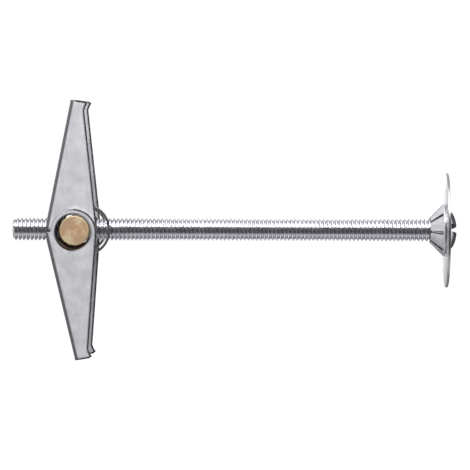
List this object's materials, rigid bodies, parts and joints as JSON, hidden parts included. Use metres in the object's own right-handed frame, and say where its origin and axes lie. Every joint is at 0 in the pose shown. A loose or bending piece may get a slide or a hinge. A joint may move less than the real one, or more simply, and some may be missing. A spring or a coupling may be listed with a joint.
{
  "type": "spring toggle bolt",
  "caption": "Slotted bolt with a captive round rosette under its head and a trunnion nut that carries two sprung folding channel wings.",
  "frame": {"origin": "on the bolt's axis, in the plane of the rosette's clamping face", "axes": "+X along the bolt towards its head, +Y along the opened upper wing, +Z along the trunnion, up as it lies"},
  "size_m": [0.077, 0.045, 0.0198],
  "materials": {
    "bolt_zinc": "bright zinc-plated steel",
    "rosette_zinc": "bright zinc-plated steel sheet",
    "nut_yellow": "turned, matt yellow",
    "wing_zinc": "matt zinc-plated steel sheet",
    "spring_steel": "drawn spring wire"
  },
  "bodies": {
    "nut": {"trunnion_nut": "nut_yellow", "toggle_spring": "spring_steel"},
    "upper_wing": {"upper_wing": "wing_zinc"},
    "lower_wing": {"lower_wing": "wing_zinc"},
    "rosette": {"rosette": "rosette_zinc"},
    "bolt": {"bolt": "bolt_zinc"}
  },
  "joints": [
    {"name": "upper_wing_fold", "type": "hinge", "parent": "nut", "child": "upper_wing", "pos_m": [-0.064, 0, 0], "axis": [0, 0, -1], "range_deg": [0, 80], "stiffness_Nm_per_rad": 0.02, "springref_deg": -28.65, "deforming": ["toggle_spring"]},
    {"name": "lower_wing_fold", "type": "hinge", "parent": "nut", "child": "lower_wing", "pos_m": [-0.064, 0, 0], "axis": [0, 0, 1], "range_deg": [0, 80], "stiffness_Nm_per_rad": 0.02, "springref_deg": -28.65, "deforming": ["toggle_spring"]},
    {"name": "screw_feed", "type": "slide", "parent": "nut", "child": "rosette", "axis": [1, 0, 0], "range_m": [-0.0385, 0.0119]},
    {"name": "bolt_turn", "type": "hinge", "parent": "rosette", "child": "bolt", "pos_m": [0, 0, 0], "axis": [1, 0, 0], "range_deg": [-19801, 6121]}
  ],
  "couplings": [
    {"joint": "bolt_turn", "follows": "screw_feed", "rad_per_m": 8976}
  ]
}
